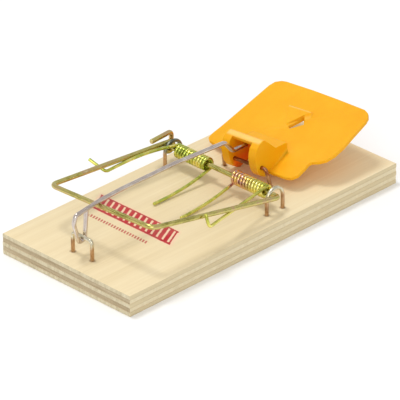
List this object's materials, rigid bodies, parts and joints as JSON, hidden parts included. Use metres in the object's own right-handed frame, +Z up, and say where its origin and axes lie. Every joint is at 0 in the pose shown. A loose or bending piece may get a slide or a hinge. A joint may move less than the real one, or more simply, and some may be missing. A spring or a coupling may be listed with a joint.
{
  "type": "snap mouse trap",
  "caption": "Snap trap for mice, set: plywood base, wire hammer on torsion springs, lock bar held in the catch of a tilting plastic bait pedal.",
  "frame": {"origin": "centre of the base's underside", "axes": "+X along the base's length towards the bait pedal, +Y towards the hammer's hooked arm, +Z up out of the board"},
  "size_m": [0.095, 0.045, 0.0198],
  "materials": {
    "face_veneer": "raw pale plywood face and core veneer",
    "cross_veneer": "raw plywood cross-grain veneer",
    "zinc_wire": "yellow zinc-passivated wire",
    "spring_wire": "bright yellow zinc-passivated spring wire",
    "coppered_staple": "copper-washed steel staple wire",
    "steel_wire": "plain grey steel wire",
    "yellow_plastic": "moulded yellow-orange plastic, satin"
  },
  "bodies": {
    "base": {"ply_bottom_face": "face_veneer", "ply_lower_cross": "cross_veneer", "ply_core": "face_veneer", "ply_upper_cross": "cross_veneer", "ply_top_face": "face_veneer", "axle_staple_right": "coppered_staple", "axle_staple_left": "coppered_staple", "lock_bar_staple": "coppered_staple", "pedal_staple": "coppered_staple", "spring_right": "spring_wire", "spring_left": "spring_wire"},
    "hammer": {"hammer": "zinc_wire"},
    "lock_bar": {"lock_bar": "steel_wire"},
    "pedal": {"trigger_pedal": "yellow_plastic"}
  },
  "joints": [
    {"name": "hammer_swing", "type": "hinge", "parent": "base", "child": "hammer", "pos_m": [0.0075, 0, 0.0104], "axis": [0, 1, 0], "range_deg": [0, 150], "deforming": ["spring_right", "spring_left"]},
    {"name": "lock_bar_swing", "type": "hinge", "parent": "base", "child": "lock_bar", "pos_m": [-0.0416, 0, 0.0112], "axis": [0, -1, 0], "range_deg": [0, 110]},
    {"name": "pedal_tilt", "type": "hinge", "parent": "base", "child": "pedal", "pos_m": [0.0152, 0, 0.0102], "axis": [0, 0.9968, -0.0802], "range_deg": [0, 10]}
  ]
}
